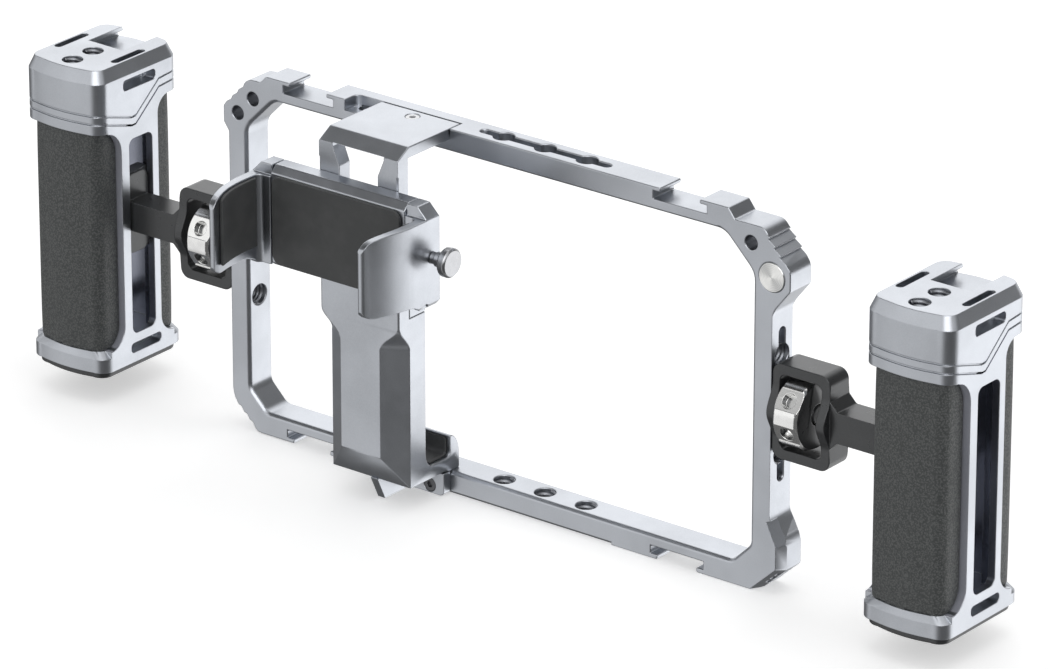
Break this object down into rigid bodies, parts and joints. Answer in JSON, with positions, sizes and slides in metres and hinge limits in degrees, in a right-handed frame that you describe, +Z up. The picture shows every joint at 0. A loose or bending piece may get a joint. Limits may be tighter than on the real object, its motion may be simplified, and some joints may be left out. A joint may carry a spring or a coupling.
{
  "type": "smartphone video rig",
  "caption": "Flat metal phone cage with cold shoes, a padded phone clamp on a hooked bracket and two leather-covered side handles on thumb-screw mounts.",
  "frame": {"origin": "the tripod thread at the middle of the bottom rail's underside, halfway through the cage's depth", "axes": "+X to the right along the cage, +Y to the rear, away from the phone clamp, +Z up"},
  "size_m": [0.3363, 0.078, 0.1141],
  "materials": {
    "grey_anodised": "fine bead-blasted, grey anodised",
    "black_anodised": "satin black anodised",
    "bright_steel": "turned, bright",
    "dark_steel": "blackened",
    "black_rubber": "matt, fine texture",
    "black_leather": "pebbled grain, semi-matt"
  },
  "bodies": {
    "cage": {"cage_frame": "grey_anodised", "ear_disc": "bright_steel", "bracket": "grey_anodised", "plate_screw": "bright_steel", "rear_block": "grey_anodised", "block_screws": "dark_steel", "latch_plate": "grey_anodised", "latch_screw": "dark_steel", "hook_pad": "black_rubber", "clamp_body": "grey_anodised", "back_pad": "black_rubber", "right_jaw": "grey_anodised", "right_jaw_pad": "black_rubber", "left_mount": "black_anodised", "left_locating_pins": "bright_steel", "left_slide_bar": "black_anodised", "left_bar_screws": "dark_steel", "right_mount": "black_anodised", "right_locating_pins": "bright_steel", "right_slide_bar": "black_anodised", "right_bar_screws": "dark_steel"},
    "left_jaw": {"left_jaw": "grey_anodised", "left_jaw_pad": "black_rubber", "sleeve_nut": "bright_steel", "guide_rods": "bright_steel"},
    "clamp_screw": {"clamp_screw": "bright_steel"},
    "left_stud": {"left_stud": "bright_steel"},
    "left_wheel": {"left_wheel": "bright_steel"},
    "left_handle": {"left_handle": "grey_anodised", "left_front_grip": "black_leather", "left_rear_grip": "black_leather", "left_base_plate": "black_anodised", "left_base_screws": "dark_steel"},
    "right_stud": {"right_stud": "bright_steel"},
    "right_wheel": {"right_wheel": "bright_steel"},
    "right_handle": {"right_handle": "grey_anodised", "right_front_grip": "black_leather", "right_rear_grip": "black_leather", "right_base_plate": "black_anodised", "right_base_screws": "dark_steel"}
  },
  "joints": [
    {"name": "clamp_screw_turn", "type": "hinge", "parent": "cage", "child": "clamp_screw", "pos_m": [-0.033, -0.03175, 0.0866], "axis": [1, 0, 0], "range_deg": [0, 4320.1]},
    {"name": "left_jaw_slide", "type": "slide", "parent": "cage", "child": "left_jaw", "axis": [-1, 0, 0], "range_m": [0, 0.024]},
    {"name": "left_stud_slide", "type": "slide", "parent": "cage", "child": "left_stud", "axis": [-1, 0, 0], "range_m": [0, 0.004]},
    {"name": "left_wheel_turn", "type": "hinge", "parent": "left_stud", "child": "left_wheel", "pos_m": [-0.10745, 0, 0.05705], "axis": [-1, 0, 0], "range_deg": [0, 1134]},
    {"name": "left_handle_slide", "type": "slide", "parent": "cage", "child": "left_handle", "axis": [0, 0, 1], "range_m": [-0.0117, 0.0248]},
    {"name": "right_stud_slide", "type": "slide", "parent": "cage", "child": "right_stud", "axis": [1, 0, 0], "range_m": [0, 0.004]},
    {"name": "right_wheel_turn", "type": "hinge", "parent": "right_stud", "child": "right_wheel", "pos_m": [0.10745, 0, 0.05705], "axis": [1, 0, 0], "range_deg": [0, 1134]},
    {"name": "right_handle_slide", "type": "slide", "parent": "cage", "child": "right_handle", "axis": [0, 0, 1], "range_m": [-0.0117, 0.0248]}
  ],
  "couplings": [
    {"joint": "clamp_screw_turn", "follows": "left_jaw_slide", "rad_per_m": 3141.6},
    {"joint": "left_wheel_turn", "follows": "left_stud_slide", "rad_per_m": 4947.4},
    {"joint": "right_wheel_turn", "follows": "right_stud_slide", "rad_per_m": 4947.4}
  ]
}
